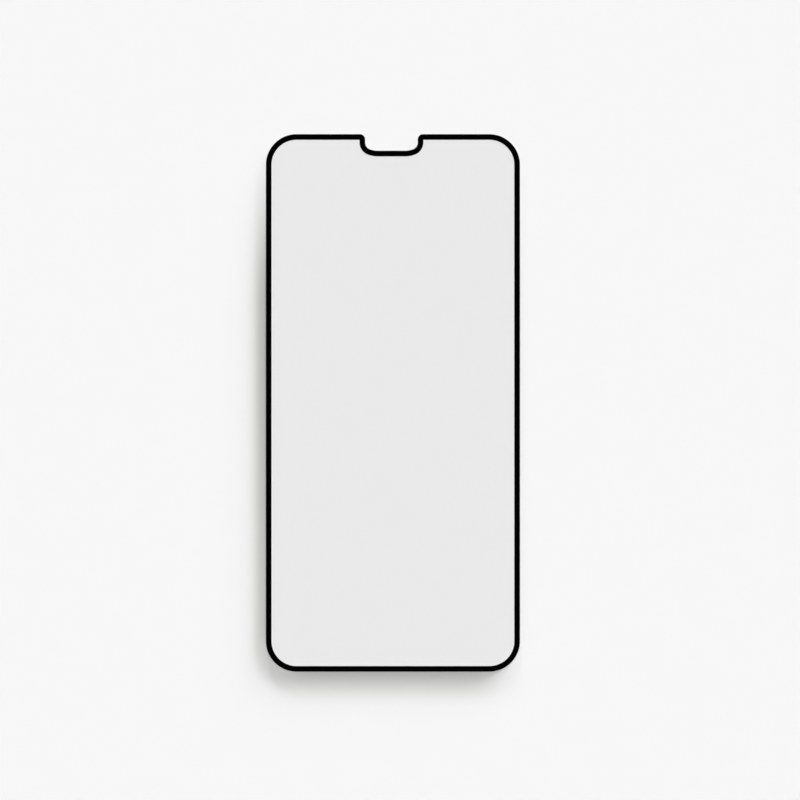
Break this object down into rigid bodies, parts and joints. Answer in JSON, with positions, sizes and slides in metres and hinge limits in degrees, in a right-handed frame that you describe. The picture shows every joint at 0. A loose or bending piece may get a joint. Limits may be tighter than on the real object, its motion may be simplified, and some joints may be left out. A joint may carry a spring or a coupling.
{
  "type": "phone screen protector",
  "caption": "Flat clear glass sheet with rounded corners, a small notch in its top edge and a narrow black border printed round its back, which is stuck over a phone's display.",
  "frame": {"origin": "middle of the outline's box, on the plane that the printed back rests on", "axes": "+Z out of the front face, +Y along the length towards the notch, +X to the right seen from the front"},
  "size_m": [0.069, 0.146, 0.0003],
  "materials": {
    "clear_glass": "clear and polished",
    "black_ink": "opaque screen-printed ink, satin on its back"
  },
  "bodies": {
    "root": {"glass_sheet": "clear_glass", "black_border": "black_ink"}
  },
  "joints": []
}
